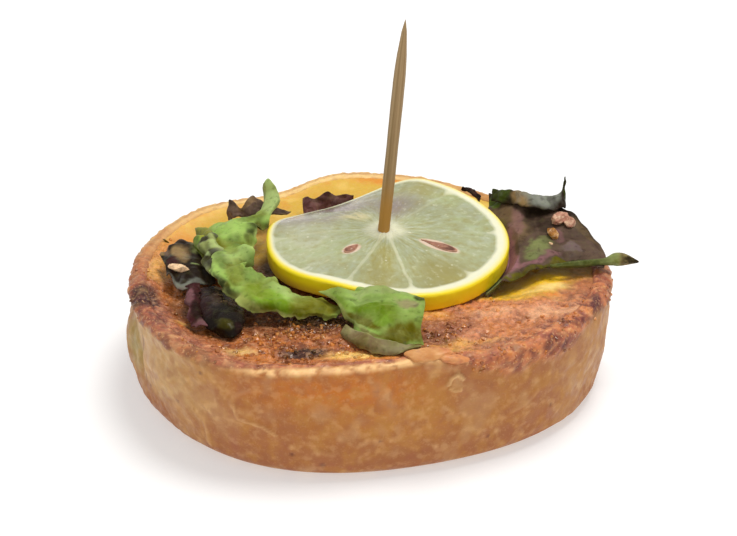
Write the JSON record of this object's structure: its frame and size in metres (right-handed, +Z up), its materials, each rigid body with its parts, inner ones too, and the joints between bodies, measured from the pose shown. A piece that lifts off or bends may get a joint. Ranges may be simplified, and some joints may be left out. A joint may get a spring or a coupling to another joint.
{
  "type": "garnished quiche",
  "caption": "Small round quiche in a straight-sided pastry case, garnished with lettuce leaves and a lemon slice pinned by a bamboo pick.",
  "frame": {"origin": "middle of the flat base that the quiche rests on", "axes": "+Z up, along the pick; -Y the side seen in the picture; +X to its right, towards the leaf stalk that hangs over the rim"},
  "size_m": [0.1149, 0.1047, 0.0814],
  "materials": {
    "baked_pastry": "baked shortcrust, golden tan with browned rim",
    "baked_custard": "baked custard, browned and grainy on top",
    "lemon_flesh": "wet translucent lemon flesh with white pith and yellow rind",
    "lemon_pip": "cut lemon pip, reddish brown with a pale skin",
    "bamboo": "plain split bamboo",
    "lettuce_green_left": "thin wavy lettuce leaf, slightly waxy",
    "lettuce_dark_left": "thin wavy lettuce leaf, slightly waxy",
    "lettuce_dark_low": "thin wavy lettuce leaf, slightly waxy",
    "lettuce_green_front": "thin wavy lettuce leaf, slightly waxy",
    "lettuce_dark_right": "thin wavy lettuce leaf, slightly waxy",
    "lettuce_purple_back_left": "thin wavy lettuce leaf, slightly waxy",
    "lettuce_purple_back": "thin wavy lettuce leaf, slightly waxy",
    "lettuce_purple_shred": "thin wavy lettuce leaf, slightly waxy"
  },
  "bodies": {
    "root": {"pastry_case": "baked_pastry", "custard_filling": "baked_custard", "lemon_slice": "lemon_flesh", "lemon_pip_1": "lemon_pip", "lemon_pip_2": "lemon_pip", "bamboo_pick": "bamboo", "green_leaf_left": "lettuce_green_left", "dark_leaf_left": "lettuce_dark_left", "dark_leaf_low": "lettuce_dark_low", "green_leaf_front": "lettuce_green_front", "dark_leaf_right": "lettuce_dark_right", "purple_leaf_back_left": "lettuce_purple_back_left", "purple_leaf_back": "lettuce_purple_back", "purple_shred_back": "lettuce_purple_shred"}
  },
  "joints": []
}
